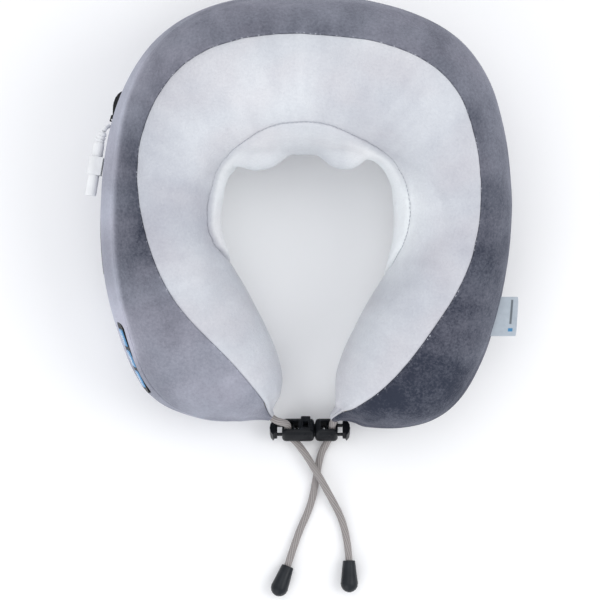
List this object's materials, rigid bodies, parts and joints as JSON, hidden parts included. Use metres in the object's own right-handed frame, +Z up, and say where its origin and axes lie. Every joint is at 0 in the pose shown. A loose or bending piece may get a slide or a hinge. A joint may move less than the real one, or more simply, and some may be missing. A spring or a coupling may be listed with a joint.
{
  "type": "shiatsu neck massager",
  "caption": "U-shaped velour neck pillow with a kneading drive at the back, side keys, charging jack, zip and drawcords through a sprung cord lock.",
  "frame": {"origin": "centre of the pillow's bounding box on the surface that it lies on, cords and cord lock left out", "axes": "+Z up out of the pillow's top; -Y from the back of the neck to the arms' tips; +X to the wearer's side with the tag"},
  "size_m": [0.3093, 0.4365, 0.1498],
  "materials": {
    "pale_velour": "short pile",
    "grey_velour": "short pile",
    "foam": "open cell",
    "drive_abs": "satin",
    "gloss_black": "gloss",
    "black_plastic": "satin",
    "key_blue": "gloss",
    "white_plastic": "satin",
    "white_elastic": "woven",
    "steel": "machined",
    "bronze": "sintered",
    "nylon": "moulded",
    "head_rubber": "satin",
    "board": "solder mask",
    "cell": "shrink sleeve",
    "lead": "satin",
    "braid": "braided",
    "satin": "satin"
  },
  "bodies": {
    "pillow": {"base_panel": "grey_velour", "battery_cell_1": "cell", "battery_cell_2": "cell", "battery_lead": "lead", "battery_tray": "drive_abs", "border_panel": "grey_velour", "buckle_socket": "black_plastic", "charge_board": "board", "charge_lead": "lead", "collar_panel": "pale_velour", "control_bezel": "gloss_black", "control_board": "board", "control_case": "drive_abs", "dc_jack": "white_plastic", "foam_core": "foam", "front_housing": "drive_abs", "jack_cable": "white_plastic", "jack_strain_relief": "white_plastic", "keeper_loop": "white_elastic", "left_case_screw": "steel", "left_cord_end": "black_plastic", "left_drawcord": "braid", "left_front_bush": "bronze", "left_rear_bush": "bronze", "left_spring": "steel", "motor_can": "steel", "motor_end_cap": "black_plastic", "motor_lead": "lead", "rear_housing": "drive_abs", "right_case_screw": "steel", "right_cord_end": "black_plastic", "right_drawcord": "braid", "right_front_bush": "bronze", "right_rear_bush": "bronze", "side_panel": "grey_velour", "side_tag": "satin", "top_case_screw": "steel", "top_panel": "pale_velour", "worm_top_bush": "bronze", "zip_chain": "black_plastic"},
    "left_rotor": {"left_worm_wheel": "nylon", "left_rotor_shaft": "steel", "left_head_carrier": "drive_abs", "left_upper_head": "head_rubber", "left_lower_head": "head_rubber"},
    "right_rotor": {"right_worm_wheel": "nylon", "right_rotor_shaft": "steel", "right_head_carrier": "drive_abs", "right_upper_head": "head_rubber", "right_lower_head": "head_rubber"},
    "worm": {"worm_shaft": "steel"},
    "power_key": {"power_key": "key_blue"},
    "direction_key": {"direction_key": "key_blue"},
    "speed_key": {"speed_key": "key_blue"},
    "zip_slider": {"zip_slider": "black_plastic"},
    "zip_pull": {"zip_pull": "black_plastic"},
    "plug": {"buckle_plug": "black_plastic", "right_spring": "steel"},
    "left_plunger": {"left_plunger": "black_plastic"},
    "right_plunger": {"right_plunger": "black_plastic"}
  },
  "joints": [
    {"name": "left_rotor_spin", "type": "hinge", "parent": "pillow", "child": "left_rotor", "pos_m": [-0.0266, 0.082, 0.078], "axis": [0, 1, 0], "continuous": true},
    {"name": "right_rotor_spin", "type": "hinge", "parent": "pillow", "child": "right_rotor", "pos_m": [0.0304, 0.082, 0.078], "axis": [0, 1, 0], "continuous": true},
    {"name": "worm_spin", "type": "hinge", "parent": "pillow", "child": "worm", "pos_m": [0.0019, 0.082, 0.078], "axis": [0, 0, 1], "continuous": true},
    {"name": "power_key_press", "type": "slide", "parent": "pillow", "child": "power_key", "axis": [0.8975, 0.3661, -0.2458], "range_m": [0, 0.0005], "stiffness_N_per_m": 400},
    {"name": "direction_key_press", "type": "slide", "parent": "pillow", "child": "direction_key", "axis": [0.88, 0.4157, -0.2297], "range_m": [0, 0.0005], "stiffness_N_per_m": 400},
    {"name": "speed_key_press", "type": "slide", "parent": "pillow", "child": "speed_key", "axis": [0.8599, 0.464, -0.2129], "range_m": [0, 0.0005], "stiffness_N_per_m": 400},
    {"name": "zip_travel", "type": "hinge", "parent": "pillow", "child": "zip_slider", "pos_m": [0.12901, -0.00621, 0.046], "axis": [0, 0, 1], "range_deg": [0, 21.95]},
    {"name": "zip_pull_swing", "type": "hinge", "parent": "zip_slider", "child": "zip_pull", "pos_m": [-0.13635, 0.07143, 0.046], "axis": [0, 0, 1], "range_deg": [0, 70]},
    {"name": "buckle_pull_apart", "type": "slide", "parent": "pillow", "child": "plug", "axis": [1, 0, 0], "range_m": [0, 0.009], "deforming": ["right_drawcord"]},
    {"name": "left_plunger_press", "type": "slide", "parent": "pillow", "child": "left_plunger", "axis": [1, 0, 0], "range_m": [0, 0.002], "stiffness_N_per_m": 900, "deforming": ["left_spring"]},
    {"name": "right_plunger_press", "type": "slide", "parent": "plug", "child": "right_plunger", "axis": [-1, 0, 0], "range_m": [0, 0.002], "stiffness_N_per_m": 900, "deforming": ["right_spring"]}
  ],
  "couplings": [
    {"joint": "right_rotor_spin", "follows": "left_rotor_spin", "ratio": -1},
    {"joint": "worm_spin", "follows": "left_rotor_spin", "ratio": 36}
  ]
}
